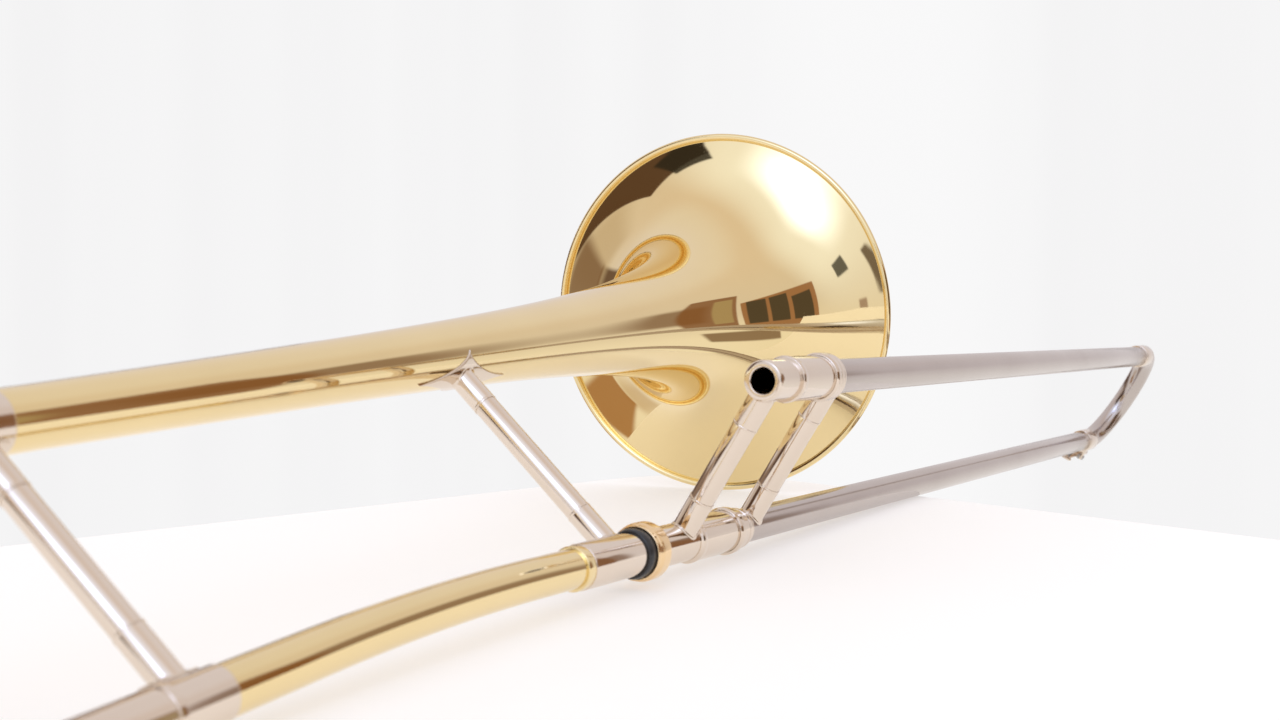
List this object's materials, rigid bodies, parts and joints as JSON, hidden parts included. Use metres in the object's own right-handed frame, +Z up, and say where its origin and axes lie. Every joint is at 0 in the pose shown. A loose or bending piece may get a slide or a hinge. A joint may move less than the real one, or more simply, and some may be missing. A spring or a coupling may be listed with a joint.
{
  "type": "tenor trombone",
  "caption": "Straight tenor trombone with flared brass bell, telescoping nickel hand slide, tuning slide, lock nut and water key, shown closed and without a mouthpiece.",
  "frame": {"origin": "on the lower slide tube's axis, at the rear face of the joint between hand slide and bell section", "axes": "+X along the hand slide towards its end bow, +Z up as the instrument lies on its side, +Y towards the bell"},
  "size_m": [1.2133, 0.2743, 0.2309],
  "materials": {
    "lacquered_brass": "mirror polished under clear lacquer",
    "raw_brass": "drawn, unlacquered",
    "nickel_silver": "polished nickel silver",
    "satin_nickel": "drawn nickel silver, satin",
    "black_rubber": "smooth black",
    "cork": "natural cork",
    "spring_steel": "drawn steel"
  },
  "bodies": {
    "bell_section": {"bell": "lacquered_brass", "bell_rim_wire": "spring_steel", "tail_sleeve": "nickel_silver", "neck_sleeve": "nickel_silver", "neckpipe": "lacquered_brass", "neck_ferrule": "lacquered_brass", "slide_socket": "nickel_silver", "cushion_ring": "black_rubber", "front_brace": "nickel_silver", "front_brace_foot": "nickel_silver", "front_brace_flange": "nickel_silver", "rear_brace": "nickel_silver", "rear_brace_feet": "nickel_silver"},
    "tuning_slide": {"tuning_bow": "lacquered_brass", "tuning_legs": "nickel_silver", "tuning_ferrules": "nickel_silver", "tuning_brace": "nickel_silver"},
    "lock_nut": {"lock_nut": "lacquered_brass"},
    "slide_section": {"slide_tenon": "nickel_silver", "mouthpiece_receiver": "nickel_silver", "upper_barrel": "nickel_silver", "lower_barrel": "nickel_silver", "upper_end_ring": "nickel_silver", "leadpipe": "raw_brass", "upper_inner_tube": "satin_nickel", "lower_inner_tube": "satin_nickel", "stockings": "satin_nickel", "barrel_corks": "cork", "inner_brace": "nickel_silver", "inner_brace_feet": "nickel_silver"},
    "slide_lock": {"slide_lock_ring": "nickel_silver"},
    "outer_slide": {"upper_outer_tube": "satin_nickel", "lower_outer_tube": "satin_nickel", "outer_collars": "nickel_silver", "slide_lock_lug": "nickel_silver", "outer_brace": "nickel_silver", "outer_brace_feet": "nickel_silver", "bow_ferrules": "nickel_silver", "end_bow": "satin_nickel", "bumper_cup": "nickel_silver", "bumper": "black_rubber", "water_key_nipple": "nickel_silver", "water_key_bracket": "nickel_silver", "water_key_screw": "spring_steel"},
    "water_key": {"water_key_lever": "nickel_silver", "water_key_cork": "cork", "water_key_spring": "spring_steel"}
  },
  "joints": [
    {"name": "slide_angle", "type": "hinge", "parent": "bell_section", "child": "slide_section", "pos_m": [0, 0, 0], "axis": [1, 0, 0], "range_deg": [-25, 225]},
    {"name": "lock_nut_turn", "type": "hinge", "parent": "slide_section", "child": "lock_nut", "pos_m": [0.011, 0, 0], "axis": [1, 0, 0], "continuous": true},
    {"name": "tuning_pull", "type": "slide", "parent": "bell_section", "child": "tuning_slide", "axis": [-0.9947, -0.0764, -0.0688], "range_m": [-0.0058, 0.045]},
    {"name": "hand_slide", "type": "slide", "parent": "slide_section", "child": "outer_slide", "axis": [1, 0, 0], "range_m": [0, 0.6]},
    {"name": "slide_lock_turn", "type": "hinge", "parent": "slide_section", "child": "slide_lock", "pos_m": [0.092, 0, 0], "axis": [1, 0, 0], "range_deg": [0, 30]},
    {"name": "water_key_lift", "type": "hinge", "parent": "outer_slide", "child": "water_key", "pos_m": [0.751, 0.00715, -0.01145], "axis": [0, 0.848, 0.5299], "range_deg": [0, 10]}
  ]
}
